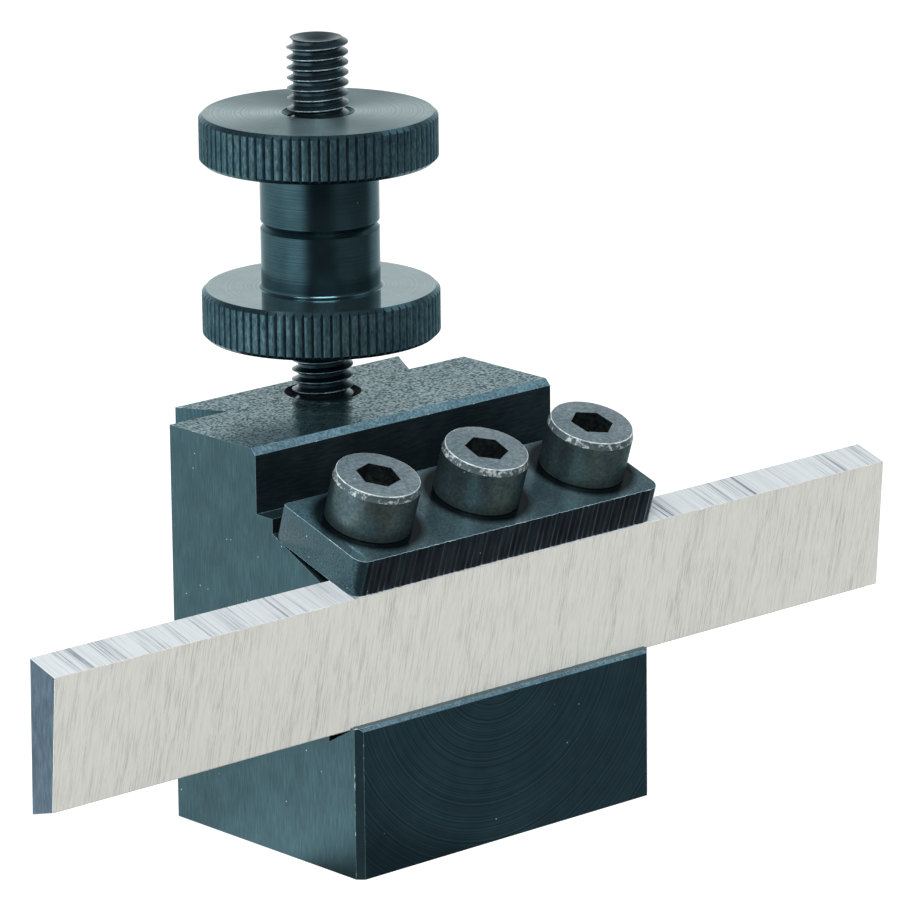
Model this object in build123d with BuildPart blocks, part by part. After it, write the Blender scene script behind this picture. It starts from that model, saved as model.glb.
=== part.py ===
# Lathe tool holder for a dovetail quick-change post, set up with a parting blade.
# Millimetres. The origin is the middle of the block's underside, +X runs along the
# blade, +Y points at the tool post and +Z is up.
from build123d import *
import os
from math import atan2, cos, degrees, radians, sin, tan

# Holder block
block_length = 30.4
block_depth = 21.6          # from the front face to the shoulders beside the dovetail
block_height = 31.6
block_edge_chamfer = 0.5
dovetail_width = 23.1       # across the wide rear face
dovetail_height = 3.75
dovetail_angle = 60.0
lip_height = 11.95          # the ledge in front of the blade's foot
lip_chamfer = 0.25
slot_floor_angle = 30.0
seat_angle = 26.0           # slope that the clamp plate's rear edge bears on
ledge_height = 26.5         # the small step above that slope
ledge_width = 1.85
notch_gap = 0.35            # free space behind the clamp plate

# Parting blade, a tapered section with bevelled top and foot
blade_length = 85.0
blade_height = 12.0
blade_thickness = 3.0
blade_foot_thickness = 2.5
blade_top_bevel = 18.0
blade_foot_bevel = 16.0
blade_lean = 1.2
blade_foot_height = 11.05   # lowest edge of the blade above the block's underside
blade_foot_depth = 3.35     # that edge behind the block's front face
blade_overhang = 28.5       # from the block's left end to the blade's left end

# Clamp plate, a little longer than the block
clamp_length = 31.0
clamp_width = 9.35
clamp_thickness = 3.05
clamp_setback = 0.1         # front edge behind the blade's upper front edge
clamp_shift = 0.3           # how far right of the block's middle it is tightened
clamp_corner_radius = 1.1
clamp_heel_radius = 0.8

# M4 socket head cap screws
screw_count = 3
screw_spacing = 11.0
screw_shift = 0.6           # the middle screw right of the block's middle
screw_setback = 4.9         # the screws' axes behind the clamp plate's front edge
screw_length = 12.0
screw_diameter = 3.85       # over the thread's crests
screw_pitch = 0.7
head_diameter = 6.8
head_height = 4.0
head_chamfer = 0.3
socket_across_flats = 3.0
socket_depth = 2.0
clamp_hole_clearance = 0.2
tap_extra_depth = 1.5

# M5 height stud
stud_diameter = 4.8         # over the thread's crests
stud_pitch = 0.8
stud_from_front = 21.2
stud_projection = 28.2      # above the block's top face
stud_engagement = 11.0
stud_cup_diameter = 2.6
stud_cup_depth = 0.5
countersink_diameter = 6.1

# Knurled nuts, a pair from one drawing, the upper one turned over
nut_disc_diameter = 18.6
nut_disc_thickness = 3.8
nut_hub_diameter = 9.3
nut_height = 8.8
nut_rim_chamfer = 0.3
nut_bore_chamfer = 0.4
nut_root_radius = 0.25
knurl_count = 80
knurl_depth = 0.28
knurl_width = 0.34
knurl_runout = 0.1          # how far the knurl's cutter stands out of the rim
nut_rest_gap = 4.7          # from the block's top face to the lower nut

# Thread form, in shares of the pitch
thread_depth = 0.61
thread_crest = 0.125
thread_root = 0.235

# Fits
slide_clearance = 0.02
thread_clearance = 0.05

os.makedirs("parts", exist_ok=True)


# Points of the end view are (y, z) pairs, directions are degrees from +Y towards +Z.
def along(start, angle, distance):
    return (start[0] + distance * cos(radians(angle)), start[1] + distance * sin(radians(angle)))


def meet(first, first_angle, second, second_angle):
    a, b = radians(first_angle), radians(second_angle)
    across = (second[0] - first[0]) * sin(b) - (second[1] - first[1]) * cos(b)
    return along(first, first_angle, across / sin(b - a))


def heading(first, second):
    return degrees(atan2(second[1] - first[1], second[0] - first[0]))


# Places that several pieces share
front_y = -block_depth / 2
shoulder_y = block_depth / 2
stud_y = front_y + stud_from_front

rear_foot = (front_y + blade_foot_depth, blade_foot_height)
rear_top = along(rear_foot, 90 + blade_lean, blade_height)
front_top = along(rear_top, 180 + blade_top_bevel, blade_thickness)
front_foot = along(rear_foot, 180 - blade_foot_bevel, blade_foot_thickness)
blade_front_angle = heading(front_foot, front_top)

clamp_angle = blade_top_bevel
clamp_toe = along(along(front_top, clamp_angle, clamp_setback), clamp_angle + 90, slide_clearance)
clamp_heel = along(clamp_toe, clamp_angle, clamp_width)
clamp_rear_top = along(clamp_heel, clamp_angle + 90, clamp_thickness)
clamp_front_top = along(clamp_toe, clamp_angle + 90, clamp_thickness)
heel_centre = along(
    along(clamp_heel, clamp_angle + 180, clamp_heel_radius), clamp_angle + 90, clamp_heel_radius
)

# The screws stand square on the clamp plate
screw_seat = along(clamp_front_top, clamp_angle, screw_setback)
screw_places = [screw_shift + (i - (screw_count - 1) / 2) * screw_spacing for i in range(screw_count)]


def screw_plane(x):
    lean = radians(clamp_angle)
    return Plane(origin=(x, *screw_seat), x_dir=(1, 0, 0), z_dir=(0, -sin(lean), cos(lean)))


# Thread as a stack of rings: profile points from the lower end to the upper one
def thread_profile(crest_radius, pitch, low, high):
    depth, crest, root = thread_depth * pitch, thread_crest * pitch, thread_root * pitch
    flank = (pitch - crest - root) / 2
    turns = int((high - low - 2 * depth) / pitch)
    start = (low + high - turns * pitch) / 2
    points = [(crest_radius - depth, low), (crest_radius, low + depth)]
    for turn in range(turns):
        z = start + turn * pitch + crest
        points += [
            (crest_radius, z),
            (crest_radius - depth, z + flank),
            (crest_radius - depth, z + flank + root),
            (crest_radius, z + 2 * flank + root),
        ]
    points += [(crest_radius, high - depth), (crest_radius - depth, high)]
    return points


# Holder block: milled end view, dovetail at the rear, tapped holes
wall_point = along(rear_foot, blade_lean, slide_clearance)
lip_point = along(front_foot, blade_front_angle + 90, slide_clearance)
floor_point = along(front_foot, -90 - slot_floor_angle, slide_clearance)
seat_point = along(heel_centre, seat_angle - 90, clamp_heel_radius + slide_clearance)
notch_y = clamp_heel[0] + notch_gap
step_y = notch_y + ledge_width

block_outline = [
    (front_y, 0),
    (shoulder_y, 0),
    (shoulder_y, block_height),
    (step_y + block_edge_chamfer, block_height),
    (step_y, block_height - block_edge_chamfer),
    (step_y, ledge_height),
    (notch_y, ledge_height),
    meet(seat_point, seat_angle, (notch_y, 0), 90),
    meet(seat_point, seat_angle, wall_point, 90 + blade_lean),
    meet(floor_point, -slot_floor_angle, wall_point, 90 + blade_lean),
    meet(floor_point, -slot_floor_angle, lip_point, blade_front_angle),
    meet((front_y, lip_height), 0, lip_point, blade_front_angle),
    (front_y + lip_chamfer, lip_height),
    (front_y, lip_height - lip_chamfer),
]
dovetail_root = dovetail_width - 2 * dovetail_height / tan(radians(dovetail_angle))
dovetail_outline = [
    (-dovetail_root / 2, shoulder_y),
    (dovetail_root / 2, shoulder_y),
    (dovetail_width / 2, shoulder_y + dovetail_height),
    (-dovetail_width / 2, shoulder_y + dovetail_height),
]
with BuildPart() as holder_block:
    with BuildSketch(Plane.YZ):
        with BuildLine():
            Polyline(*block_outline, close=True)
        make_face()
    extrude(amount=block_length / 2, both=True)
    front_edges = holder_block.edges().filter_by(Axis.Z).group_by(Axis.Y)[0]
    chamfer(front_edges, block_edge_chamfer)
    with BuildSketch(Plane.XY):
        with BuildLine():
            Polyline(*dovetail_outline, close=True)
        make_face()
    extrude(amount=block_height)
    with Locations((0, stud_y, block_height)):
        CounterSinkHole(
            stud_diameter / 2 + thread_clearance,
            countersink_diameter / 2,
            depth=stud_engagement + tap_extra_depth,
            counter_sink_angle=90,
        )
    for place in screw_places:
        with BuildSketch(screw_plane(place)):
            Circle(screw_diameter / 2 + thread_clearance)
        extrude(amount=-screw_length - tap_extra_depth, mode=Mode.SUBTRACT)
holder_block.part.label = "holder_block"
export_step(holder_block.part, "parts/holder_block.step")

# Parting blade
blade_left = -block_length / 2 - blade_overhang
with BuildPart() as parting_blade:
    with BuildSketch(Plane.YZ.offset(blade_left)):
        with BuildLine():
            Polyline(rear_foot, rear_top, front_top, front_foot, close=True)
        make_face()
    extrude(amount=blade_length)
parting_blade.part.label = "parting_blade"
export_step(parting_blade.part, "parts/parting_blade.step")

# Clamp plate: it lies on the blade's bevel and heels on the block's slope
clamp_plane = Plane(
    origin=(clamp_shift, *clamp_toe),
    x_dir=(1, 0, 0),
    z_dir=(0, -sin(radians(clamp_angle)), cos(radians(clamp_angle))),
)
clamp_section = [clamp_toe, clamp_heel, clamp_rear_top, clamp_front_top]
with BuildPart() as clamp_plate:
    with BuildSketch(clamp_plane):
        with Locations((0, clamp_width / 2)):
            RectangleRounded(clamp_length, clamp_width, clamp_corner_radius)
    extrude(amount=clamp_thickness)
    with BuildSketch(Plane.YZ) as clamp_end:
        with BuildLine():
            Polyline(*clamp_section, close=True)
        make_face()
        fillet(clamp_end.vertices().sort_by(Axis.X)[-1], clamp_heel_radius)
    extrude(amount=clamp_length, both=True, mode=Mode.INTERSECT)
    for place in screw_places:
        with BuildSketch(screw_plane(place)):
            Circle(screw_diameter / 2 + clamp_hole_clearance)
        extrude(amount=-clamp_thickness, mode=Mode.SUBTRACT)
clamp_plate.part.label = "clamp_plate"
export_step(clamp_plate.part, "parts/clamp_plate.step")

# Cap screw, made standing on its head's underside, then set in its three places
with BuildPart() as cap_screw:
    with BuildSketch(Plane.XZ):
        with BuildLine():
            Polyline(
                (0, -screw_length),
                *thread_profile(screw_diameter / 2, screw_pitch, -screw_length, 0),
                (screw_diameter / 2, 0),
                (head_diameter / 2, 0),
                (head_diameter / 2, head_height - head_chamfer),
                (head_diameter / 2 - head_chamfer, head_height),
                (0, head_height),
                close=True,
            )
        make_face()
    revolve(axis=Axis.Z)
    with BuildSketch(Plane.XY.offset(head_height)):
        RegularPolygon(socket_across_flats / 2, 6, major_radius=False)
    extrude(amount=-socket_depth, mode=Mode.SUBTRACT)
for number, place in enumerate(screw_places, start=1):
    clamp_screw = cap_screw.part.moved(screw_plane(place).location)
    clamp_screw.label = f"clamp_screw_{number}"
    export_step(clamp_screw, f"parts/clamp_screw_{number}.step")

# Height stud, screwed into the block's top
stud_foot = block_height - stud_engagement
stud_top = block_height + stud_projection
with BuildPart() as height_stud:
    with BuildSketch(Plane.XZ.offset(-stud_y)):
        with BuildLine():
            Polyline(
                (0, stud_foot),
                *thread_profile(stud_diameter / 2, stud_pitch, stud_foot, stud_top),
                (stud_cup_diameter / 2, stud_top),
                (0, stud_top - stud_cup_depth),
                close=True,
            )
        make_face()
    revolve(axis=Axis((0, stud_y, 0), (0, 0, 1)))
height_stud.part.label = "height_stud"
export_step(height_stud.part, "parts/height_stud.step")

# Knurled nut, made disc down with the disc's face at zero
nut_bore_radius = stud_diameter / 2 + thread_clearance
disc_radius = nut_disc_diameter / 2
hub_radius = nut_hub_diameter / 2
with BuildPart() as knurled_nut:
    with BuildSketch(Plane.XZ):
        with BuildLine():
            Polyline(
                (nut_bore_radius, nut_bore_chamfer),
                (nut_bore_radius + nut_bore_chamfer, 0),
                (disc_radius - nut_rim_chamfer, 0),
                (disc_radius, nut_rim_chamfer),
                (disc_radius, nut_disc_thickness - nut_rim_chamfer),
                (disc_radius - nut_rim_chamfer, nut_disc_thickness),
                (hub_radius + nut_root_radius, nut_disc_thickness),
                (hub_radius, nut_disc_thickness + nut_root_radius),
                (hub_radius, nut_height - nut_rim_chamfer),
                (hub_radius - nut_rim_chamfer, nut_height),
                (nut_bore_radius + nut_bore_chamfer, nut_height),
                (nut_bore_radius, nut_height - nut_bore_chamfer),
                close=True,
            )
        make_face()
    revolve(axis=Axis.Z)
    with BuildSketch(Plane.XY):
        with PolarLocations(disc_radius, knurl_count):
            Polygon(
                (-knurl_depth, 0),
                (knurl_runout, -knurl_width / 2),
                (knurl_runout, knurl_width / 2),
                align=None,
            )
    extrude(amount=nut_disc_thickness, mode=Mode.SUBTRACT)

lower_nut_z = block_height + nut_rest_gap
upper_nut_z = lower_nut_z + 2 * nut_height + slide_clearance
nut_places = {
    "adjusting_nut": Plane(origin=(0, stud_y, lower_nut_z)),
    "lock_nut": Plane(origin=(0, stud_y, upper_nut_z), x_dir=(1, 0, 0), z_dir=(0, 0, -1)),
}
for name, plane in nut_places.items():
    nut = knurled_nut.part.moved(plane.location)
    nut.label = name
    export_step(nut, f"parts/{name}.step")
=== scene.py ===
from math import atan2, cos, pi, radians, sin

import bpy
from mathutils import Matrix, Vector


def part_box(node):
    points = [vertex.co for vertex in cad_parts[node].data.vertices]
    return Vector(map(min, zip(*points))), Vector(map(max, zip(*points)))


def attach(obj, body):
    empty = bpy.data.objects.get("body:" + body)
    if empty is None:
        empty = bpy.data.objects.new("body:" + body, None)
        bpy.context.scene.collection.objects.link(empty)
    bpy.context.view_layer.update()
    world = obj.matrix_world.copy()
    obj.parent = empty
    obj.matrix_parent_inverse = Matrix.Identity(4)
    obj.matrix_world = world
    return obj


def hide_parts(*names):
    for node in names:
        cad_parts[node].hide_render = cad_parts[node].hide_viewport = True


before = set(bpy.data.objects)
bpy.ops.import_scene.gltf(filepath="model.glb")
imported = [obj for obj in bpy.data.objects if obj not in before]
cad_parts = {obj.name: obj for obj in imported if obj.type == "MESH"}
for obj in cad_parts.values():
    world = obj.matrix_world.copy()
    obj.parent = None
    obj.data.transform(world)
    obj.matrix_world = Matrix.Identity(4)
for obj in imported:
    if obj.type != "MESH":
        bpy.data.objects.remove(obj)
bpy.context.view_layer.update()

MM = 0.001


# Holder block
# The body is milled from a bar of steel: a dovetail at the rear, a slot and a lip for the
# blade, a slope for the clamp plate. Black oxide over the cutter's marks, edges just broken.
def linear(hex_colour):
    """A written sRGB colour as the linear RGBA that shaders take."""
    channels = [int(hex_colour[i : i + 2], 16) / 255 for i in (1, 3, 5)]
    return [c / 12.92 if c <= 0.04045 else ((c + 0.055) / 1.055) ** 2.4 for c in channels] + [1.0]


def set_inputs(node, inputs):
    """Gives a node's inputs their values, or links them from another node's output."""
    for name, value in inputs.items():
        if isinstance(value, bpy.types.NodeSocket):
            node.id_data.links.new(value, node.inputs[name])
        else:
            node.inputs[name].default_value = value


def add_node(material, kind, inputs=None, **settings):
    """Adds a node with its settings and links."""
    node = material.node_tree.nodes.new(kind)
    for name, value in settings.items():
        setattr(node, name, value)
    set_inputs(node, inputs or {})
    return node


def new_metal(name, colour, roughness, metallic, glancing="#ffffff"):
    """A metal surface and its shader. Colour is what it reflects face on, glancing what a
    porous coat leaves of the edge's mirror; metallic leaves out what the coat scatters."""
    material = bpy.data.materials.new(name)
    material.use_nodes = True
    shader = material.node_tree.nodes["Principled BSDF"]
    set_inputs(
        shader,
        {
            "Base Color": linear(colour),
            "Metallic": metallic,
            "Roughness": roughness,
            "Specular Tint": linear(glancing),
        },
    )
    return material, shader


def grained(material, grain, turn=(0, 0, 0), detail=3.0, roughness=0.6):
    """Noise with its own size in mm along each axis of a turned frame."""
    place = add_node(material, "ShaderNodeTexCoord").outputs["Object"]
    turned_place = add_node(
        material, "ShaderNodeMapping", {"Vector": place, "Rotation": turn}, vector_type="TEXTURE"
    ).outputs[0]
    sized_place = add_node(
        material,
        "ShaderNodeMapping",
        {"Vector": turned_place, "Scale": [1 / (size * MM) for size in grain]},
        vector_type="POINT",
    ).outputs[0]
    return add_node(
        material,
        "ShaderNodeTexNoise",
        {"Vector": sized_place, "Scale": 1.0, "Detail": detail, "Roughness": roughness},
    ).outputs["Fac"]


def rings_about(material, centre, pitch, across):
    """Noise in rings about a centre: lines of that pitch in mm, the same all round. With
    no share of Z across, the lines follow the height as well."""
    place = add_node(material, "ShaderNodeTexCoord").outputs["Object"]
    centred = add_node(
        material, "ShaderNodeVectorMath", {0: place, 1: centre}, operation="SUBTRACT"
    ).outputs[0]
    flat = add_node(
        material, "ShaderNodeVectorMath", {0: centred, 1: across}, operation="MULTIPLY"
    ).outputs[0]
    radius = add_node(material, "ShaderNodeVectorMath", {0: flat}, operation="LENGTH").outputs["Value"]
    if across[2] == 0:
        height = add_node(material, "ShaderNodeSeparateXYZ", {0: centred}).outputs["Z"]
        radius = add_node(
            material, "ShaderNodeMath", {0: radius, 1: height}, operation="ADD"
        ).outputs[0]
    return add_node(
        material,
        "ShaderNodeTexNoise",
        {"W": radius, "Scale": 1 / (pitch * MM), "Detail": 3.0, "Roughness": 0.65},
        noise_dimensions="1D",
    ).outputs["Fac"]


def uneven_oxide(material, colour, pale, patch):
    """Oxide that took a little paler in patches of that size in mm."""
    patches = grained(material, (patch, patch, patch), detail=4.0)
    share = add_node(
        material, "ShaderNodeMapRange", {"Value": patches, "From Min": 0.38, "From Max": 0.66}
    ).outputs[0]
    return add_node(
        material,
        "ShaderNodeMix",
        {0: share, 6: linear(colour), 7: linear(pale)},
        data_type="RGBA",
    ).outputs[2]


def tool_marked(material, colour, lines, band, groove):
    """A colour under the tool's lines: times the groove's grey below the band of the
    noise, whole above it."""
    share = add_node(
        material, "ShaderNodeMapRange", {"Value": lines, "From Min": band[0], "From Max": band[1]}
    ).outputs[0]
    shade = add_node(
        material,
        "ShaderNodeMix",
        {0: share, 6: linear(groove), 7: linear("#ffffff")},
        data_type="RGBA",
    ).outputs[2]
    return add_node(
        material,
        "ShaderNodeMix",
        {0: 1.0, 6: colour, 7: shade},
        data_type="RGBA",
        blend_type="MULTIPLY",
    ).outputs[2]


def nicked(material, colour, spacing, size, bare):
    """The colour with small knocks to bare metal, up to that size in mm: one in nearly
    every second cell of that spacing."""
    place = add_node(material, "ShaderNodeTexCoord").outputs["Object"]
    cells = add_node(
        material, "ShaderNodeTexVoronoi", {"Vector": place, "Scale": 1 / (spacing * MM)}
    ).outputs
    chance = add_node(material, "ShaderNodeSeparateColor", {"Color": cells["Color"]}).outputs[0]
    knock_radius = add_node(
        material,
        "ShaderNodeMapRange",
        {"Value": chance, "From Min": 0.55, "To Max": size / spacing / 2},
    ).outputs[0]
    knocked = add_node(
        material, "ShaderNodeMath", {0: cells["Distance"], 1: knock_radius}, operation="LESS_THAN"
    ).outputs[0]
    return add_node(
        material, "ShaderNodeMix", {0: knocked, 6: colour, 7: linear(bare)}, data_type="RGBA"
    ).outputs[2]


def polished_lands(material, lines, roughness):
    """Roughness under the tool's lines: a little rougher in the grooves than between."""
    return add_node(
        material,
        "ShaderNodeMapRange",
        {
            "Value": lines,
            "From Min": 0.3,
            "From Max": 0.7,
            "To Min": roughness + 0.06,
            "To Max": roughness - 0.04,
        },
    ).outputs[0]


def black_oxide(
    name,
    colour,
    pale,
    roughness,
    depth,
    lines,
    groove,
    band=(0.34, 0.66),
    metallic=0.86,
    glancing="#ffffff",
    pitted=False,
):
    """Black oxide on machined steel: the oxide is blue-black, a little patchy, and
    shows the cutter's fine lines, with small pale nicks where it has been knocked. The
    lines are depth mm deep and groove is the grey that they turn the colour to, below
    that band of their noise. On a pitted face they stay dark at a glancing view too."""
    material, shader = new_metal(name, colour, roughness, metallic, glancing)
    cut = lines(material)
    oxide = uneven_oxide(material, colour, pale, patch=3.0)
    lined = tool_marked(material, oxide, cut, band, groove)
    relief = add_node(
        material, "ShaderNodeBump", {"Height": cut, "Distance": depth * MM, "Strength": 1.0}
    )
    set_inputs(
        shader,
        {
            "Base Color": nicked(material, lined, spacing=1.25, size=0.15, bare="#c3cdd0"),
            "Roughness": polished_lands(material, cut, roughness),
            "Normal": relief.outputs[0],
        },
    )
    if pitted:
        edge_mirror = tool_marked(material, linear(glancing), cut, band, groove)
        set_inputs(shader, {"Specular Tint": edge_mirror})
    return material


def edge_wear_and_highlight(name, colour, pale, patch, share=0.62):
    """The broken edge of a blackened piece: rubbed a little paler all along, and bright in
    the share of it that lies above that value of the noise. On some edges the pale line is
    a painted highlight as well as wear."""
    material, shader = new_metal(name, colour, 0.34, 0.55)
    rubbed = grained(material, (patch, patch, patch), roughness=0.7)
    bright = add_node(
        material,
        "ShaderNodeMapRange",
        {"Value": rubbed, "From Min": share - 0.08, "From Max": share + 0.04},
    ).outputs[0]
    worn = add_node(
        material,
        "ShaderNodeMix",
        {0: bright, 6: linear(colour), 7: linear(pale)},
        data_type="RGBA",
    ).outputs[2]
    relief = add_node(
        material, "ShaderNodeBump", {"Height": rubbed, "Distance": 0.01 * MM, "Strength": 1.0}
    )
    set_inputs(shader, {"Base Color": worn, "Normal": relief.outputs[0]})
    return material


def pick(piece):
    """Makes the piece active and the only one that is selected."""
    bpy.ops.object.select_all(action="DESELECT")
    bpy.context.view_layer.objects.active = piece
    piece.select_set(True)


def modify(piece, kind, **settings):
    """Adds a modifier with its settings and applies it."""
    pick(piece)
    modifier = piece.modifiers.new(kind.lower(), kind)
    for name, value in settings.items():
        setattr(modifier, name, value)
    bpy.ops.object.modifier_apply(modifier=modifier.name)


def own_copy(node, name):
    """A new piece from a CAD node's mesh, its loose triangles merged to clean faces."""
    piece = bpy.data.objects.new(name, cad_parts[node].data.copy())
    bpy.context.scene.collection.objects.link(piece)
    piece.data.materials.clear()
    pick(piece)
    bpy.ops.object.mode_set(mode="EDIT")
    bpy.ops.mesh.select_all(action="SELECT")
    bpy.ops.mesh.remove_doubles(threshold=0.002 * MM)
    bpy.ops.mesh.customdata_custom_splitnormals_clear()
    bpy.ops.mesh.dissolve_limited(angle_limit=radians(0.5))
    bpy.ops.mesh.select_all(action="DESELECT")
    bpy.ops.object.mode_set(mode="OBJECT")
    bpy.ops.object.shade_flat()
    return piece


def break_edges(piece, width, edge_slot, angle=30):
    """Breaks the piece's sharp edges by that width in mm, in the given material slot."""
    modify(
        piece,
        "BEVEL",
        width=width * MM,
        segments=2,
        limit_method="ANGLE",
        angle_limit=radians(angle),
        material=edge_slot,
        miter_outer="MITER_ARC",
    )


def smooth_rounds(piece, angle):
    """Shades the piece smooth over its rounds and sharp at edges past that angle."""
    pick(piece)
    bpy.ops.object.shade_smooth_by_angle(angle=radians(angle))


block = own_copy("holder_block", "milled_block")
block_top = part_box("holder_block")[1].z
lip_top = 11.95 * MM
step_height = 26.5 * MM
wall_foot = step_height - 3 * MM
top_chamfer = 0.5 * MM
countersink_reach = 4 * MM
stud_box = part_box("height_stud")
stud_place = (stud_box[0] + stud_box[1]) / 2
# A face or a vertex within this of a level lies on it.
level_margin = 0.01 * MM

# The cutters' lines are about 0.05 mm apart, finer than a pixel, so all of them are drawn
# two to four times as coarse, and so are the top's pits.
block_finishes = [
    # Black oxide on side-milled ends: satin blue-black with upright hairlines.
    black_oxide(
        "block_ends_black_oxide",
        colour="#3c565f",
        pale="#426068",
        roughness=0.3,
        depth=0.003,
        lines=lambda material: grained(material, (0.13, 0.13, 1.6)),
        groove="#d2d2d2",
    ),
    # Black oxide on the bar's own etched top: nearly glossy, with a speckle of dark pits.
    black_oxide(
        "block_top_black_oxide",
        colour="#47666e",
        pale="#57777e",
        roughness=0.15,
        depth=0.004,
        lines=lambda material: grained(
            material, (0.22, 0.22, 0.22), detail=1.5, roughness=0.5
        ),
        groove="#a0abaf",
        band=(0.36, 0.58),
        pitted=True,
    ),
    # Black oxide on the face-milled lower front: darker, with the fly cutter's wide arcs.
    black_oxide(
        "block_front_black_oxide",
        colour="#344f5a",
        pale="#3b5862",
        roughness=0.3,
        depth=0.001,
        lines=lambda material: rings_about(material, (-1 * MM, 0, 15.5 * MM), 0.17, (1, 0, 1)),
        groove="#bcbcbc",
        band=(0.36, 0.64),
    ),
    # Black oxide in the step's wall and the countersink, painted dull and almost black as
    # their shade, and without a bright edge at a glancing view.
    black_oxide(
        "block_recess_oxide_painted_shade",
        colour="#2c393f",
        pale="#354349",
        roughness=0.36,
        depth=0.002,
        lines=lambda material: grained(material, (1.5, 0.2, 0.2)),
        groove="#c4c4c4",
        glancing="#5f7075",
    ),
    # Black oxide on the chamfers, tilted to the light: painted brighter and bluer as their highlight.
    black_oxide(
        "block_chamfer_oxide_painted_lit",
        colour="#5b7781",
        pale="#6b8892",
        roughness=0.3,
        depth=0.004,
        lines=lambda material: grained(material, (0.2, 0.2, 0.2)),
        groove="#a9b2b6",
    ),
    # Worn black oxide on the broken edges: a fine pale line, bright where it is bare.
    edge_wear_and_highlight("block_worn_edge", colour="#55717b", pale="#eef3f4", patch=0.9, share=0.66),
]
for finish in block_finishes:
    block.data.materials.append(finish)
# Each face takes its finish from where it points and how high it lies.
for face in block.data.polygons:
    at, out = face.center, face.normal
    if abs(out.x) > 0.9:
        face.material_index = 0
    elif out.z > 0.9 and at.z > block_top - level_margin:
        face.material_index = 1
    elif out.y < -0.9 and at.z < lip_top:
        face.material_index = 2
    elif out.y < -0.9 and at.z > wall_foot:
        face.material_index = 3
    elif (at - stud_place).xy.length < countersink_reach and abs(out.z) < 0.9:
        face.material_index = 3
    elif out.z > 0.5 and out.y < -0.5 and (at.z > block_top - 2 * top_chamfer or at.z < lip_top):
        face.material_index = 4
break_edges(block, 0.07, edge_slot=5)
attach(block, "holder")
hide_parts("holder_block")


# Parting blade
# A hardened high-speed-steel blank of tapered section, surface ground all over and cut to
# length. Grinding leaves fine slanted lines; the cut ends are scale dark and bluish.
def ground_steel(name, colour, dark, grain, turn, streak, contrast, streaking, pale_share):
    """Surface-ground high-speed steel: pale and satin, with the wheel's parallel lines
    in groups and a few darker streaks where the wheel was loaded. A hairline is finer
    than a pixel, so the lines are drawn about three times as coarse as real ones."""
    material, shader = new_metal(name, colour, 0.46, 0.35)
    lines = grained(material, grain, turn, detail=4.0, roughness=0.75)
    streaks = grained(material, streak, turn)
    grouped = add_node(
        material,
        "ShaderNodeMapRange",
        {"Value": streaks, "From Min": 0.36, "From Max": 0.62, "To Min": 0.2, "To Max": contrast},
    ).outputs[0]
    cut = add_node(
        material,
        "ShaderNodeMapRange",
        {"Value": lines, "From Min": pale_share, "From Max": pale_share - 0.14},
    ).outputs[0]
    share = add_node(material, "ShaderNodeMath", {0: cut, 1: grouped}, operation="MULTIPLY").outputs[0]
    lined = add_node(
        material,
        "ShaderNodeMix",
        {0: share, 6: linear(colour), 7: linear(dark)},
        data_type="RGBA",
    ).outputs[2]
    loaded = add_node(
        material,
        "ShaderNodeMapRange",
        {"Value": streaks, "From Min": 0.55, "From Max": 0.75, "To Max": streaking},
    ).outputs[0]
    streaked = add_node(
        material, "ShaderNodeMix", {0: loaded, 6: lined, 7: linear(dark)}, data_type="RGBA"
    ).outputs[2]
    satin = add_node(
        material,
        "ShaderNodeMapRange",
        {"Value": lines, "From Min": 0.3, "From Max": 0.7, "To Min": 0.4, "To Max": 0.52},
    ).outputs[0]
    relief = add_node(
        material, "ShaderNodeBump", {"Height": lines, "Distance": 0.002 * MM, "Strength": 1.0}
    )
    set_inputs(shader, {"Base Color": streaked, "Roughness": satin, "Normal": relief.outputs[0]})
    return material


grinding_slant = radians(9)
blade = own_copy("parting_blade", "ground_blade")
blade_finishes = [
    # Ground high-speed steel on the sides: warm silver, satin, with slanted hairlines.
    ground_steel(
        "blade_side_ground",
        colour="#e6e4dd",
        dark="#8f8c84",
        grain=(0.09, 2.2, 2.2),
        turn=(0, grinding_slant, 0),
        streak=(2.0, 12, 12),
        contrast=0.5,
        streaking=0.1,
        pale_share=0.52,
    ),
    # Ground high-speed steel on the bevels: cooler and brighter, its lines run across the
    # blade in strong groups.
    ground_steel(
        "blade_top_ground",
        colour="#c5c9cc",
        dark="#4f5c69",
        grain=(0.14, 14, 14),
        turn=(0, 0, radians(2)),
        streak=(2.2, 20, 20),
        contrast=1.0,
        streaking=0.25,
        pale_share=0.5,
    ),
    # Heat-blued scale on the cut-off ends: flat slate blue, with the cut's upright drag.
    black_oxide(
        "blade_cut_end_scale",
        colour="#576877",
        pale="#5c6e7f",
        roughness=0.36,
        depth=0.002,
        lines=lambda material: grained(material, (0.2, 0.2, 1.2)),
        groove="#c8c8c8",
    ),
    # Bare steel along the keen edges: a thread of brighter silver.
    edge_wear_and_highlight("blade_keen_edge", colour="#d2d1cb", pale="#e8e7e2", patch=0.8),
]
for finish in blade_finishes:
    blade.data.materials.append(finish)
# The cut ends, the bevelled top, and all the rest as sides.
for face in blade.data.polygons:
    if abs(face.normal.x) > 0.9:
        face.material_index = 2
    elif face.normal.z > 0.7:
        face.material_index = 1
break_edges(blade, 0.05, edge_slot=3)
# Only the edges towards the front keep the bright edge; those at the rear take the dark scale as
# painted shade.
for face in blade.data.polygons:
    if face.material_index == 3 and face.normal.y > 0.1:
        face.material_index = 2
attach(blade, "blade")
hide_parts("parting_blade")


# Clamp plate
# A flat steel bar lying on the blade's bevel and heeling on the block's slope, held down by
# three screws. Its ends are rounded, its front edge is milled with a coarse upright feed.
def reach(node, axis):
    """The lowest and highest place of a CAD node along an axis."""
    places = [axis.dot(vertex.co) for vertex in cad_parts[node].data.vertices]
    return min(places), max(places)


def combine(piece, tool, operation):
    """Cuts, joins or trims the piece with a tool, which is then thrown away."""
    modify(piece, "BOOLEAN", operation=operation, object=tool, solver="EXACT")
    bpy.data.objects.remove(tool)


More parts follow.
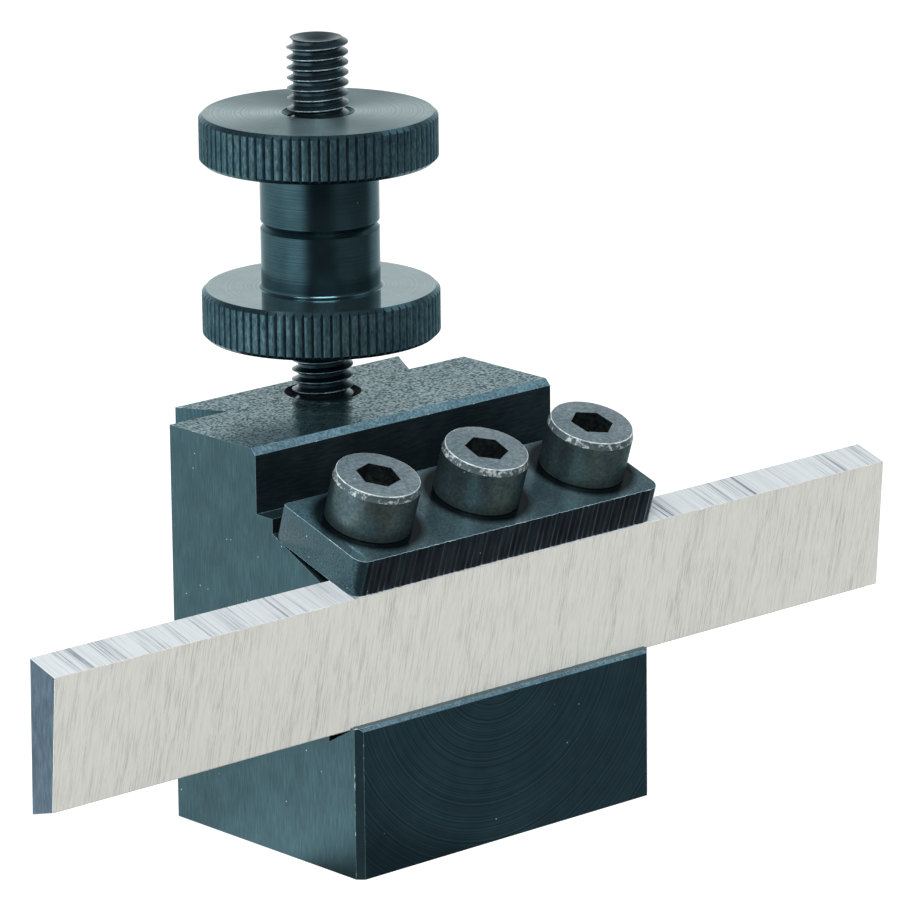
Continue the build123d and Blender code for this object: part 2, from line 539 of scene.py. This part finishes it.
def settle(piece, location=(0, 0, 0), rotation=(0, 0, 0)):
    """Puts the piece in place and leaves its object at the origin, unturned."""
    pick(piece)
    piece.location = location
    piece.rotation_euler = rotation
    bpy.ops.object.transform_apply(location=True, rotation=True, scale=True)


def bevel_edges(piece, chosen, width, segments):
    """Rounds the edges that the rule chooses, given an edge's two ends."""
    pick(piece)
    bpy.ops.object.mode_set(mode="EDIT")
    bpy.ops.mesh.select_mode(type="EDGE")
    bpy.ops.mesh.select_all(action="DESELECT")
    bpy.ops.object.mode_set(mode="OBJECT")
    corners = piece.data.vertices
    for edge in piece.data.edges:
        edge.select = chosen(corners[edge.vertices[0]].co, corners[edge.vertices[1]].co)
    bpy.ops.object.mode_set(mode="EDIT")
    bpy.ops.mesh.bevel(offset=width, segments=segments, affect="EDGES")
    bpy.ops.object.mode_set(mode="OBJECT")


plate_length = 31.0 * MM
plate_corner = 1.1 * MM
plate_rear_corner = 0.3 * MM
heel_radius = 0.8 * MM
scallop_pitch = 0.55 * MM
scallop_depth = 0.08 * MM
scalloped_rim = 0.13 * MM
# Two vertices nearer than this are one.
same_place = 0.0001 * MM
head_shade_ring_inner = 4.0 * MM
head_shade_ring_outer = 4.7 * MM
# Edges to be rounded are chosen by their length along an axis and by where they lie.
long_edge = 1 * MM
front_half = 1 * MM
rear_half = 5 * MM
lower_half = 1 * MM
screw_spacing = 11.0 * MM
screw_setback = 4.9 * MM
middle_screw = 0.6 * MM
screw_places = [middle_screw + side * screw_spacing for side in (-1, 0, 1)]
plate_hole_radius = 2.125 * MM
plate_lean = radians(18)
plate_across = Vector((0, cos(plate_lean), sin(plate_lean)))
plate_normal = Vector((0, -sin(plate_lean), cos(plate_lean)))
toe, heel = reach("clamp_plate", plate_across)
underside, upside = reach("clamp_plate", plate_normal)
plate_middle = (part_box("clamp_plate")[0].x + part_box("clamp_plate")[1].x) / 2
plate_width = heel - toe
plate_thickness = upside - underside


def plain_bar(name, extra=0):
    """The bar as sawn, longer by extra: x is centred, the front edge is at y 0 and the
    underside at z 0."""
    bpy.ops.mesh.primitive_cube_add(
        size=1,
        location=(0, plate_width / 2, plate_thickness / 2),
        scale=(plate_length + extra, plate_width, plate_thickness),
    )
    bar = bpy.context.object
    bar.name = name
    bpy.ops.object.transform_apply(location=True, rotation=True, scale=True)
    return bar


plate = plain_bar("clamp_bar")
bevel_edges(
    plate, lambda a, b: abs(a.z - b.z) > long_edge and a.y < front_half, plate_corner, 8
)
bevel_edges(
    plate, lambda a, b: abs(a.z - b.z) > long_edge and a.y > rear_half, plate_rear_corner, 3
)
# The rounded heel is cut by a longer bar, so that the plate's ends stay as they are.
rounded_heel = plain_bar("heel_shape", extra=2 * MM)
bevel_edges(
    rounded_heel,
    lambda a, b: min(a.y, b.y) > rear_half
    and max(a.z, b.z) < lower_half
    and abs(a.x - b.x) > long_edge,
    heel_radius,
    6,
)
combine(plate, rounded_heel, "INTERSECT")

# Blued steel, ground flat: a smooth blue-grey, brighter than the milled faces. A dark ring
# painted about each screw head stands for the heads' contact shadow and dark reflection.
plate_top_finish = black_oxide(
    "plate_top_blued",
    colour="#6c8b96",
    pale="#7c9ba5",
    roughness=0.2,
    depth=0.002,
    lines=lambda material: grained(material, (0.22, 0.22, 0.22)),
    groove="#b4b4b4",
)
seat_place = add_node(plate_top_finish, "ShaderNodeTexCoord").outputs["Object"]
on_plate = add_node(
    plate_top_finish,
    "ShaderNodeMapping",
    {
        "Vector": seat_place,
        "Location": plate_across * (toe + screw_setback)
        + plate_normal * upside
        + Vector((screw_places[1], 0, 0)),
        "Rotation": (plate_lean, 0, 0),
    },
    vector_type="TEXTURE",
)
along = add_node(plate_top_finish, "ShaderNodeSeparateXYZ", {0: on_plate.outputs[0]}).outputs
beside = add_node(
    plate_top_finish,
    "ShaderNodeMath",
    {0: along["X"], 1: screw_spacing / 2, 2: -screw_spacing / 2},
    operation="WRAP",
).outputs[0]
near_screw = add_node(plate_top_finish, "ShaderNodeCombineXYZ", {"X": beside, "Y": along["Y"]})
from_axis = add_node(
    plate_top_finish, "ShaderNodeVectorMath", {0: near_screw.outputs[0]}, operation="LENGTH"
).outputs["Value"]
head_shade_share = add_node(
    plate_top_finish,
    "ShaderNodeMapRange",
    {"Value": from_axis, "From Min": head_shade_ring_inner, "From Max": head_shade_ring_outer},
).outputs[0]
plate_shader = plate_top_finish.node_tree.nodes["Principled BSDF"]
unshaded_top_colour = plate_shader.inputs["Base Color"].links[0].from_socket
# Painted shade: the plate's colour goes to near black in a ring about each head.
painted_head_shade = add_node(
    plate_top_finish,
    "ShaderNodeMix",
    {0: head_shade_share, 6: linear("#0f1a1f"), 7: unshaded_top_colour},
    data_type="RGBA",
)
set_inputs(plate_shader, {"Base Color": painted_head_shade.outputs[2]})

plate_finishes = [
    plate_top_finish,
    # Blued steel on the milled front edge: near black, streaked upright by a coarse feed.
    black_oxide(
        "plate_front_blued",
        colour="#2c3740",
        pale="#36454f",
        roughness=0.3,
        depth=0.003,
        lines=lambda material: grained(material, (0.4, 3.0, 3.0), detail=5.0, roughness=0.7),
        groove="#808080",
    ),
    # Blued steel on the filed ends and corners: an even satin grain, drawn coarser.
    black_oxide(
        "plate_ends_blued",
        colour="#415b64",
        pale="#4a656e",
        roughness=0.3,
        depth=0.003,
        lines=lambda material: grained(material, (0.16, 0.16, 0.16)),
        groove="#b0b0b0",
    ),
    # Worn bluing on the broken edges, with a painted edge highlight: a pale blue line with brighter
    # spots.
    edge_wear_and_highlight("plate_edge_worn_and_highlit", colour="#7695a0", pale="#b9ced5", patch=0.7, share=0.58),
]
for finish in plate_finishes:
    plate.data.materials.append(finish)
# The ends and the whole of their rounded corners, and then the front edge. On the corners the ends'
# lighter finish is a painted highlight.
for face in plate.data.polygons:
    if abs(face.normal.x) > 0.2:
        face.material_index = 2
    elif face.normal.y < -0.7:
        face.material_index = 1
break_edges(plate, 0.12, edge_slot=3, angle=60)

# The front edge was milled with a coarse, uneven feed: the plate is sliced into four
# columns to a scallop, and the edge's vertices are pushed in, deeper in some than in others.
bpy.ops.object.mode_set(mode="EDIT")
column = scallop_pitch / 4
column_count = int(plate_length / column)
for number in range(1, column_count):
    bpy.ops.mesh.select_all(action="SELECT")
    bpy.ops.mesh.bisect(
        plane_co=(-plate_length / 2 + number * column, 0, 0),
        plane_no=(1, 0, 0),
        use_fill=False,
        threshold=same_place,
    )
bpy.ops.mesh.select_all(action="DESELECT")
bpy.ops.object.mode_set(mode="OBJECT")
for vertex in plate.data.vertices:
    if vertex.co.y < scalloped_rim:
        share = (vertex.co.x / scallop_pitch) % 1
        uneven = 0.75 + 0.25 * sin(2.4 * vertex.co.x / scallop_pitch)
        vertex.co.y += scallop_depth * uneven * 4 * share * (1 - share)

for place in screw_places:
    bpy.ops.mesh.primitive_cylinder_add(
        vertices=48,
        radius=plate_hole_radius,
        depth=3 * plate_thickness,
        location=(place - plate_middle, screw_setback, plate_thickness / 2),
    )
    combine(plate, bpy.context.object, "DIFFERENCE")
smooth_rounds(plate, 22)
settle(
    plate,
    plate_across * toe + plate_normal * underside + Vector((plate_middle, 0, 0)),
    (plate_lean, 0, 0),
)
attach(plate, "clamp")
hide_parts("clamp_plate")


# Cap screws
# Three hardened M4 socket head screws, headed, turned and thread rolled, then phosphated
# grey. Keys and pliers have rubbed their rims bright, and each stopped at a turn of its own.
# The thin ring on each rim is also a painted highlight.
# Shares of a thread's pitch: how deep it is, and how wide at its crest and its root.
thread_depth = 0.61
thread_crest = 0.09
thread_root = 0.27
# The turns that are wound below a thread's foot, to be cut off. The odd part keeps that cut
# off the rings of vertices.
spare_turns = 2.0094
thread_steps = 48
# The share of the thread's depth that is chamfered away at the very end.
end_chamfer = 0.6


def threaded_rod(name, radius, pitch, low, high, capped):
    """A helical thread between two heights on the Z axis, chamfered to its root at the
    foot, and at the top too where it is capped."""
    depth, crest, root = thread_depth * pitch, thread_crest * pitch, thread_root * pitch
    flank = (pitch - crest - root) / 2
    tooth = [
        (radius - depth, 0, 0),
        (radius - depth, 0, root),
        (radius, 0, root + flank),
        (radius, 0, root + flank + crest),
        (radius - depth, 0, pitch),
    ]
    rod = bpy.data.objects.new(name, bpy.data.meshes.new(name))
    rod.data.from_pydata(tooth, [(i, i + 1) for i in range(len(tooth) - 1)], [])
    bpy.context.scene.collection.objects.link(rod)
    modify(
        rod,
        "SCREW",
        axis="Z",
        angle=2 * pi,
        screw_offset=pitch,
        iterations=int((high - low) / pitch) + 4,
        steps=thread_steps,
        render_steps=thread_steps,
    )
    settle(rod, (0, 0, low - spare_turns * pitch))
    bpy.ops.object.mode_set(mode="EDIT")
    bpy.ops.mesh.select_all(action="SELECT")
    bpy.ops.mesh.remove_doubles(threshold=0.001 * MM)
    cuts = [(low, True, False), (high, False, True), (low + depth, False, False)]
    if capped:
        cuts.append((high - depth, False, False))
    for height, drop_below, drop_above in cuts:
        bpy.ops.mesh.select_all(action="SELECT")
        bpy.ops.mesh.bisect(
            plane_co=(0, 0, height),
            plane_no=(0, 0, 1),
            use_fill=drop_below or drop_above,
            clear_inner=drop_below,
            clear_outer=drop_above,
            threshold=same_place,
        )
    bpy.ops.mesh.select_all(action="SELECT")
    bpy.ops.mesh.normals_make_consistent(inside=False)
    bpy.ops.mesh.select_all(action="DESELECT")
    bpy.ops.object.mode_set(mode="OBJECT")
    for vertex in rod.data.vertices:
        from_end = vertex.co.z - low
        if capped:
            from_end = min(from_end, high - vertex.co.z)
        ring = (vertex.co.x**2 + vertex.co.y**2) ** 0.5
        limit = radius - end_chamfer * depth + max(from_end, 0)
        if ring > limit:
            vertex.co.x *= limit / ring
            vertex.co.y *= limit / ring
    return rod


def turned(name, outline, steps):
    """A solid of revolution about the Z axis from (radius, height) points, low to high."""
    shape = bpy.data.objects.new(name, bpy.data.meshes.new(name))
    points = [(radius, 0, height) for radius, height in outline]
    shape.data.from_pydata(points, [(i, i + 1) for i in range(len(points) - 1)], [])
    bpy.context.scene.collection.objects.link(shape)
    modify(
        shape,
        "SCREW",
        axis="Z",
        angle=2 * pi,
        steps=steps,
        render_steps=steps,
        use_merge_vertices=True,
        merge_threshold=same_place,
    )
    bpy.ops.object.mode_set(mode="EDIT")
    bpy.ops.mesh.select_all(action="SELECT")
    bpy.ops.mesh.remove_doubles(threshold=same_place)
    bpy.ops.mesh.normals_make_consistent(inside=False)
    bpy.ops.mesh.select_all(action="DESELECT")
    bpy.ops.object.mode_set(mode="OBJECT")
    return shape


screw_length = 12.0 * MM
screw_radius = 1.925 * MM
screw_pitch = 0.7 * MM
head_radius = 3.4 * MM
head_height = 4.0 * MM
head_flat_radius = 3.2 * MM
head_band = 0.5 * MM
head_break = 0.06 * MM
socket_flats = 3.0 * MM
socket_depth = 2.0 * MM
socket_reach = 0.6 * socket_flats

# The chamfer round the head has both of its corners rounded by the same small break.
head = turned(
    "cap_screw",
    [
        (0, 0),
        (head_radius - head_break, 0),
        (head_radius, head_break),
        (head_radius, head_height - head_band - head_break),
        (head_radius - 0.5 * head_break, head_height - head_band),
        (head_flat_radius + head_break, head_height - head_break),
        (head_flat_radius + 0.7 * head_break, head_height - 0.3 * head_break),
        (head_flat_radius, head_height),
        (0, head_height),
    ],
    steps=96,
)
bpy.ops.mesh.primitive_cylinder_add(
    vertices=6,
    radius=socket_flats / 2 / cos(pi / 6),
    depth=2 * socket_depth,
    location=(0, 0, head_height),
)
combine(head, bpy.context.object, "DIFFERENCE")
thread = threaded_rod("screw_thread", screw_radius, screw_pitch, -screw_length, 0.5 * MM, False)
combine(head, thread, "UNION")

screw_finishes = [
    # Phosphated steel on the head's top: a dull mid grey, mottled by crystals that are drawn
    # some ten times as coarse as real ones.
    black_oxide(
        "screw_head_phosphated",
        colour="#687880",
        pale="#75858c",
        roughness=0.42,
        depth=0.006,
        lines=lambda material: grained(material, (0.3, 0.3, 0.3), detail=4.0),
        groove="#b8b8b8",
        metallic=0.4,
    ),
    # Phosphated steel on the turned side: darker and greener than the top, and more of a mirror.
    black_oxide(
        "screw_side_phosphated",
        colour="#53656b",
        pale="#687672",
        roughness=0.3,
        depth=0.004,
        lines=lambda material: grained(material, (0.3, 0.3, 0.3), detail=4.0),
        groove="#c6c6c6",
        metallic=0.84,
        glancing="#8b9a9d",
    ),
    # Phosphate and oil in the pressed socket and on the shank: dark and dull.
    black_oxide(
        "screw_socket_dark",
        colour="#394144",
        pale="#434b4d",
        roughness=0.36,
        depth=0.005,
        lines=lambda material: grained(material, (0.4, 0.4, 0.4)),
        groove="#7a7a7a",
    ),
    # Steel rubbed through by pliers round the head's chamfer: bright scuffs on grey.
    edge_wear_and_highlight("screw_band_worn", colour="#47555b", pale="#b4bdbd", patch=0.5, share=0.6),
    # Steel polished bare on the rim and painted bright as its highlight: a thin silver ring.
    edge_wear_and_highlight("screw_rim_worn_and_highlit", colour="#aab5b8", pale="#dfe5e5", patch=0.8, share=0.5),
]
for finish in screw_finishes:
    head.data.materials.append(finish)
for face in head.data.polygons:
    at, out = face.center, face.normal
    ring = (at.x**2 + at.y**2) ** 0.5
    if at.z < 0 or (ring < socket_reach and at.z < head_height - level_margin):
        face.material_index = 2
    elif at.z > head_height - head_break and out.z < 0.99:
        face.material_index = 4
    elif at.z > head_height - head_band - head_break and out.z < 0.9:
        face.material_index = 3
    elif out.z < 0.3:
        face.material_index = 1
smooth_rounds(head, 25)

hex_turns = [radians(45), radians(56), radians(5)]
for number, (place, hex_turn) in enumerate(zip(screw_places, hex_turns), start=1):
    screw = head.copy()
    screw.data = head.data.copy()
    screw.name = f"cap_screw_{number}"
    bpy.context.scene.collection.objects.link(screw)
    settle(screw, rotation=(0, 0, hex_turn))
    settle(
        screw,
        plate_across * (toe + screw_setback) + plate_normal * upside + Vector((place, 0, 0)),
        (plate_lean, 0, 0),
    )
    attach(screw, f"screw_{number}")
    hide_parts(f"clamp_screw_{number}")
bpy.data.objects.remove(head)


# Height stud
# A length of M5 threaded rod screwed into the block's top, its end chamfered and dished.
# It is black oxide over a cut thread, darker in the roots and rubbed on the crests, whose pale line is
# also a painted highlight.
def turned_oxide(
    name,
    colour,
    pale,
    roughness,
    pitch,
    depth,
    axis_place,
    anisotropy,
    metallic=0.86,
    glancing="#ffffff",
):
    """Black oxide on a lathe-turned face: the tool's fine rings, a pitch in mm apart,
    follow the radius on a flat face and the height on a round one, and stretch each
    highlight across them. The real feed is finer than a pixel, so the pitch is coarser."""
    material, shader = new_metal(name, colour, roughness, metallic, glancing)
    rings = rings_about(material, axis_place, pitch, (1, 1, 0))
    oxide = uneven_oxide(material, colour, pale, patch=2.5)
    lined = tool_marked(material, oxide, rings, (0.3, 0.66), "#c4c4c4")
    relief = add_node(
        material, "ShaderNodeBump", {"Height": rings, "Distance": depth * MM, "Strength": 1.0}
    )
    around = add_node(material, "ShaderNodeTangent", direction_type="RADIAL", axis="Z")
    set_inputs(
        shader,
        {
            "Base Color": nicked(material, lined, spacing=1.8, size=0.12, bare="#d5dde0"),
            "Roughness": polished_lands(material, rings, roughness),
            "Normal": relief.outputs[0],
            "Tangent": around.outputs[0],
            "Anisotropic": anisotropy,
            "Anisotropic Rotation": 0.25,
        },
    )
    return material


stud_radius = 2.4 * MM
stud_pitch = 0.8 * MM
cup_radius = 1.85 * MM
cup_depth = 0.45 * MM
# The dish at the stud's end, from its rim down: each ring's radius and depth.
cup_rings = [(cup_radius, 0), (0.55 * cup_radius, 0.75 * cup_depth), (0.2 * cup_radius, cup_depth)]
stud_low, stud_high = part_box("height_stud")
stud_axis = Vector((stud_place.x, stud_place.y, 0))
crest_width = 0.05 * MM

stud = threaded_rod("threaded_stud", stud_radius, stud_pitch, stud_low.z, stud_high.z, True)
bpy.ops.object.mode_set(mode="EDIT")
bpy.ops.mesh.select_mode(type="FACE")
bpy.ops.mesh.select_all(action="DESELECT")
bpy.ops.object.mode_set(mode="OBJECT")
for face in stud.data.polygons:
    face.select = face.normal.z > 0.99 and face.center.z > stud_high.z - level_margin
bpy.ops.object.mode_set(mode="EDIT")
bpy.ops.mesh.extrude_region_move()
bpy.ops.object.mode_set(mode="OBJECT")
for ring, drop in cup_rings:
    for vertex in stud.data.vertices:
        if vertex.select:
            now = (vertex.co.x**2 + vertex.co.y**2) ** 0.5
            vertex.co = (vertex.co.x * ring / now, vertex.co.y * ring / now, stud_high.z - drop)
    if drop < cup_depth:
        bpy.ops.object.mode_set(mode="EDIT")
        bpy.ops.mesh.extrude_region_move()
        bpy.ops.object.mode_set(mode="OBJECT")
stud_finishes = [
    # Black oxide on a cut thread: dark, with a narrow gloss down each flank.
    turned_oxide(
        "stud_black_oxide",
        colour="#34454d",
        pale="#415560",
        roughness=0.26,
        pitch=0.2,
        depth=0.001,
        axis_place=stud_axis,
        anisotropy=0.3,
    ),
    # Worn black oxide on the crests, painted pale as their highlight too: fine pale lines, turn over
    # turn.
    edge_wear_and_highlight("stud_crest_worn_and_highlit", colour="#5c7680", pale="#93a9b0", patch=0.5, share=0.5),
]
for finish in stud_finishes:
    stud.data.materials.append(finish)
for face in stud.data.polygons:
    at, out = face.center, face.normal
    if abs(out.z) < 0.5 and (at.x**2 + at.y**2) ** 0.5 > stud_radius - crest_width:
        face.material_index = 1
smooth_rounds(stud, 25)
settle(stud, stud_axis)
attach(stud, "holder")
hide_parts("height_stud")


# Knurled nuts
# Two alike, turned from bar with a straight-knurled disc and a hub, black oxide. The lower
# one sets the height, the upper one is turned over and locks against it.
disc_radius = 9.3 * MM
disc_thickness = 3.8 * MM
hub_radius = 4.65 * MM
nut_height = 8.8 * MM
rim_chamfer = 0.32 * MM
end_margin = 1 * MM
bore_radius = 2.45 * MM
bore_chamfer = 0.4 * MM
root_radius = 0.25 * MM
# A ring of faces this wide each side of the root's arc keeps its shading off the flats.
support = 0.03 * MM
tooth_count = 80
groove_depth = 0.28 * MM
# Across one tooth: share of the pitch from the groove's middle, and depth under the rim.
tooth_form = [(0.0, 1.0), (0.16, 0.08), (0.22, 0.0), (0.5, 0.0), (0.78, 0.0), (0.84, 0.08)]

root_steps = 4
root_arc = [
    (
        hub_radius + root_radius * (1 - sin(step * pi / (2 * root_steps))),
        disc_thickness + root_radius * (1 - cos(step * pi / (2 * root_steps))),
    )
    for step in range(root_steps + 1)
]
nut_outline = [
    (bore_radius, bore_chamfer),
    (bore_radius + bore_chamfer, 0),
    (disc_radius - rim_chamfer, 0),
    (disc_radius, rim_chamfer),
    (disc_radius, disc_thickness - rim_chamfer),
    (disc_radius - rim_chamfer, disc_thickness),
    (hub_radius + root_radius + support, disc_thickness),
    *root_arc,
    (hub_radius, disc_thickness + root_radius + support),
    (hub_radius, nut_height - rim_chamfer),
    (hub_radius - rim_chamfer, nut_height),
    (bore_radius + bore_chamfer, nut_height),
    (bore_radius, nut_height - bore_chamfer),
    (bore_radius, bore_chamfer),
]
nut = turned("knurled_nut", nut_outline, tooth_count * len(tooth_form))
tooth_angle = 2 * pi / tooth_count
# Every column of vertices moves to its place across a tooth, and the disc's rim sinks to
# the groove there, its chamfers with it.
for vertex in nut.data.vertices:
    ring = (vertex.co.x**2 + vertex.co.y**2) ** 0.5
    columns = round(atan2(vertex.co.y, vertex.co.x) / tooth_angle * len(tooth_form))
    tooth, column = divmod(columns, len(tooth_form))
    share, depth = tooth_form[column]
    angle = (tooth + share) * tooth_angle
    if ring > disc_radius - level_margin:
        cut = depth * groove_depth
        ring -= cut
        vertex.co.z += -cut if vertex.co.z < disc_thickness / 2 else cut
    vertex.co.x = ring * cos(angle)
    vertex.co.y = ring * sin(angle)
nut_finishes = [
    # Black oxide on faced discs: grey-green, and each highlight is a bow-tie of rings.
    turned_oxide(
        "nut_faces_turned_oxide",
        colour="#6b8388",
        pale="#7b9296",
        roughness=0.34,
        pitch=0.12,
        depth=0.002,
        axis_place=stud_axis,
        anisotropy=0.85,
    ),
    # Black oxide on the rolled knurl: blue-grey ridges with a torn, upright grain, drawn
    # coarser than it is.
    black_oxide(
        "nut_knurl_oxide",
        colour="#47636e",
        pale="#57757f",
        roughness=0.34,
        depth=0.003,
        lines=lambda material: grained(material, (0.16, 0.16, 0.5), detail=4.0),
        groove="#9a9a9a",
        glancing="#a2b1b5",
    ),
    # Black oxide on the finely turned hub: a deep blue mirror with faint level lines.
    turned_oxide(
        "nut_hub_turned_oxide",
        colour="#374f58",
        pale="#425c65",
        roughness=0.2,
        pitch=0.1,
        depth=0.002,
        axis_place=stud_axis,
        anisotropy=0.15,
        metallic=0.97,
        glancing="#dde6e8",
    ),
    # Black oxide on the disc's inner face, burnished by the tool post: it mirrors the hub.
    turned_oxide(
        "nut_inner_face_smooth",
        colour="#677f84",
        pale="#778e92",
        roughness=0.08,
        pitch=0.12,
        depth=0.0003,
        axis_place=stud_axis,
        anisotropy=0.0,
        metallic=0.95,
    ),
]
for finish in nut_finishes:
    nut.data.materials.append(finish)
# The knurl, then all other round faces, then the disc's inner face, the only flat one that
# lies well between the nut's two ends.
for face in nut.data.polygons:
    at, out = face.center, face.normal
    ring = (at.x**2 + at.y**2) ** 0.5
    if abs(out.z) < 0.3 and ring > hub_radius + root_radius:
        face.material_index = 1
    elif abs(out.z) < 0.95:
        face.material_index = 2
    elif end_margin < at.z < nut_height - end_margin:
        face.material_index = 3
smooth_rounds(nut, 30)

nuts = [("lower_knurled_nut", "adjusting_nut", 0), ("upper_knurled_nut", "lock_nut", pi)]
for name, body, turn in nuts:
    low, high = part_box(body)
    made = nut.copy()
    made.data = nut.data.copy()
    made.name = name
    bpy.context.scene.collection.objects.link(made)
    settle(made, (stud_axis.x, stud_axis.y, low.z if turn == 0 else high.z), (turn, 0, 0))
    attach(made, body)
    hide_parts(body)
bpy.data.objects.remove(nut)


# Floor and studio
# A plain white paper sheet just under the block, open from below. Seen straight on it is
# white with a faint shadow; the steel mirrors a studio lit from behind and from the left.
front_card = (-0.667, -0.745, 0.0)
dim_walls = 0.3
mirrored_white = "#f2fbfb"


def studio_brightness(material, direction):
    """How bright the studio is towards a direction: 1 is white paper. It is bright behind
    and low down, dim overhead and in front, with a darker card at the front left."""
    parts = add_node(material, "ShaderNodeSeparateXYZ", {0: direction}).outputs
    toward_card = add_node(
        material,
        "ShaderNodeVectorMath",
        {0: direction, 1: front_card},
        operation="DOT_PRODUCT",
    ).outputs["Value"]
    # Each share goes from one brightness to another while a part of the direction goes from
    # one value to another: that part, its two values, and the two brightnesses.
    behind, low, left, card, right = [
        add_node(
            material,
            "ShaderNodeMapRange",
            {"Value": value, "From Min": start, "From Max": end, "To Min": dim, "To Max": bright},
        ).outputs[0]
        for value, start, end, dim, bright in [
            (parts["Y"], -0.42, -0.1, 0.0, 1.0),
            (parts["Z"], 0.62, 0.3, 0.0, 0.9),
            (parts["X"], -0.86, -0.98, 0.0, 0.4),
            (toward_card, 0.8, 0.96, 1.0, 0.35),
            (parts["X"], 0.25, 0.6, 1.0, 0.9),
        ]
    ]
    brightness = add_node(
        material, "ShaderNodeMath", {0: behind, 1: low, 2: dim_walls}, operation="MULTIPLY_ADD"
    )
    for share, operation in [(left, "ADD"), (card, "MULTIPLY"), (right, "MULTIPLY")]:
        brightness = add_node(
            material, "ShaderNodeMath", {0: brightness.outputs[0], 1: share}, operation=operation
        )
    return brightness.outputs[0]


floor_drop = 0.02 * MM
bpy.ops.mesh.primitive_plane_add(size=8, location=(0, 0, -floor_drop))
floor = bpy.context.object
floor.name = "studio_floor"
floor_material = bpy.data.materials.new("white_floor")
floor_material.use_nodes = True
floor_nodes = floor_material.node_tree.nodes
floor_nodes.remove(floor_nodes["Principled BSDF"])
# Seen straight on, the paper's grey and its glow add up to white, and the shadow takes away
# only the grey's share of it. In a reflection the sheet is as bright as the studio there.
spot = add_node(floor_material, "ShaderNodeTexCoord").outputs["Object"]
bearing = add_node(
    floor_material, "ShaderNodeVectorMath", {0: spot}, operation="NORMALIZE"
).outputs[0]
seen = add_node(floor_material, "ShaderNodeLightPath").outputs["Is Camera Ray"]
paper = add_node(floor_material, "ShaderNodeBsdfDiffuse", {"Color": linear("#8c8c8c")})
glow = add_node(floor_material, "ShaderNodeEmission", {"Color": linear("#ffffff"), "Strength": 0.86})
direct = add_node(floor_material, "ShaderNodeAddShader", {0: paper.outputs[0], 1: glow.outputs[0]})
mirrored = add_node(
    floor_material,
    "ShaderNodeEmission",
    {"Color": linear(mirrored_white), "Strength": studio_brightness(floor_material, bearing)},
)
choice = add_node(
    floor_material, "ShaderNodeMixShader", {0: seen, 1: mirrored.outputs[0], 2: direct.outputs[0]}
)
from_below = add_node(floor_material, "ShaderNodeNewGeometry").outputs["Backfacing"]
open_below = add_node(floor_material, "ShaderNodeBsdfTransparent")
sheet = add_node(
    floor_material,
    "ShaderNodeMixShader",
    {0: from_below, 1: choice.outputs[0], 2: open_below.outputs[0]},
)
floor_material.node_tree.links.new(sheet.outputs[0], floor_nodes["Material Output"].inputs["Surface"])
floor.data.materials.append(floor_material)

studio = bpy.data.worlds.new("studio")
bpy.context.scene.world = studio
studio.use_nodes = True
studio_nodes = studio.node_tree.nodes
toward = add_node(studio, "ShaderNodeTexCoord").outputs["Generated"]
surround = add_node(
    studio,
    "ShaderNodeBackground",
    {"Color": linear(mirrored_white), "Strength": studio_brightness(studio, toward)},
)
white = add_node(studio, "ShaderNodeBackground", {"Color": linear("#ffffff"), "Strength": 1.0})
straight = add_node(studio, "ShaderNodeLightPath").outputs["Is Camera Ray"]
sky = add_node(
    studio, "ShaderNodeMixShader", {0: straight, 1: surround.outputs[0], 2: white.outputs[0]}
)
studio.node_tree.links.new(sky.outputs[0], studio_nodes["World Output"].inputs["Surface"])


object_middle = Vector((0, 0, 0.025))


def softbox(name, direction, distance, size, level, colour="#ffffff"):
    """A square lamp aimed at the object: level is its light on a face square to it, where
    3.14 renders white as white."""
    light = bpy.data.lights.new(name, "AREA")
    light.shape = "SQUARE"
    light.size = size
    light.energy = level * pi * distance**2
    light.color = linear(colour)[:3]
    lamp = bpy.data.objects.new(name, light)
    aim = Vector(direction).normalized()
    lamp.location = aim * distance + object_middle
    lamp.rotation_euler = aim.to_track_quat("Z", "Y").to_euler()
    bpy.context.scene.collection.objects.link(lamp)
    return lamp


# A cold glint for the block's front chamfer, the main light from the front, and a small one
# overhead on the left.
softbox(
    "blue_sky_box",
    direction=(0.644, -0.262, 0.719),
    distance=0.6,
    size=0.24,
    level=0.24,
    colour="#e9f1fc",
)
softbox("front_fill", direction=(-0.45, -0.66, 0.74), distance=0.7, size=0.46, level=5.5)
softbox("overhead_left", direction=(-0.56, 0.06, 0.82), distance=0.6, size=0.16, level=0.8)


# Camera
# It stands where the photograph was taken: left of the holder, above it and far away.
camera_place = Vector((-309.23, -350.71, 155.17)) * MM
camera_yaw = radians(41.828)
camera_pitch = radians(15.187)
camera_roll = radians(-0.623)
view = bpy.data.cameras.new("camera")
view.sensor_width = 36
view.lens = 247.51
view.clip_start = 0.01
camera = bpy.data.objects.new("camera", view)
aim = (
    Matrix.Rotation(-camera_yaw, 4, "Z")
    @ Matrix.Rotation(pi / 2 - camera_pitch, 4, "X")
    @ Matrix.Rotation(camera_roll, 4, "Z")
)
camera.matrix_world = Matrix.Translation(camera_place) @ aim
bpy.context.scene.collection.objects.link(camera)
bpy.context.scene.camera = camera
bpy.context.scene.view_settings.view_transform = "Standard"
